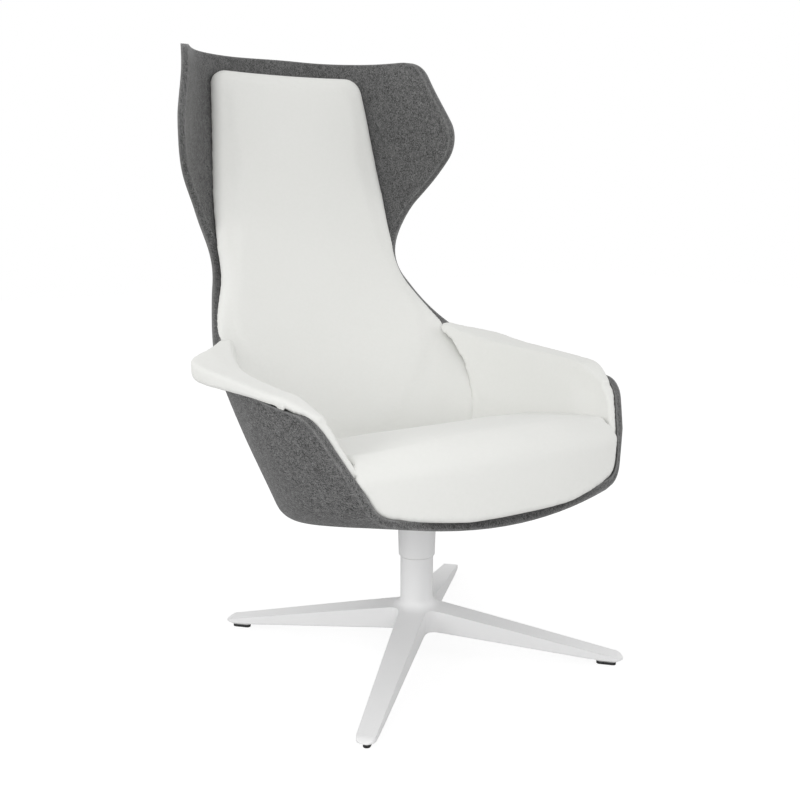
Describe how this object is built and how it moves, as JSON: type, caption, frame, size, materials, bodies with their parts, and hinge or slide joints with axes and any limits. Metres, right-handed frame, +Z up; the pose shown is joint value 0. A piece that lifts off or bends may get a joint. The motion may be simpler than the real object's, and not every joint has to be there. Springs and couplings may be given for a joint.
{
  "type": "lounge chair",
  "caption": "High-backed wing lounge chair: a moulded grey felt shell with white upholstered seat, back and arm pads, on a white star-shaped swivel pedestal base with glides.",
  "frame": {"origin": "on the floor, on the axis of the swivel column", "axes": "+Z is up along the swivel axis; the chair faces -Y; +X is to the sitter's left"},
  "size_m": [0.6798, 0.851, 1.084],
  "materials": {
    "grey_felt": "matte",
    "white_upholstery": "matte",
    "white_powder_coat": "satin",
    "zinc_steel": "satin",
    "bearing_plastic": "matte",
    "black_plastic": "matte",
    "plywood": "matte"
  },
  "bodies": {
    "base": {"star_base": "white_powder_coat", "hub_cap": "black_plastic", "upper_bush": "bearing_plastic", "lower_bush": "bearing_plastic", "thrust_washer": "bearing_plastic", "glide_rear_left": "black_plastic", "glide_rear_right": "black_plastic", "glide_front_right": "black_plastic", "glide_front_left": "black_plastic"},
    "seat": {"felt_shell": "grey_felt", "back_pad": "white_upholstery", "back_board": "plywood", "arm_pad_left": "white_upholstery", "arm_pad_right": "white_upholstery", "arm_board_left": "plywood", "arm_board_right": "plywood", "seat_cushion": "white_upholstery", "seat_board": "plywood", "top_plate": "zinc_steel", "plate_bolts": "zinc_steel", "tee_nuts": "zinc_steel", "spindle": "zinc_steel", "collar": "white_powder_coat", "retaining_washer": "zinc_steel", "circlip": "zinc_steel"}
  },
  "joints": [
    {"name": "seat_swivel", "type": "hinge", "parent": "base", "child": "seat", "pos_m": [0, 0, 0.2], "axis": [0, 0, 1], "continuous": true}
  ]
}
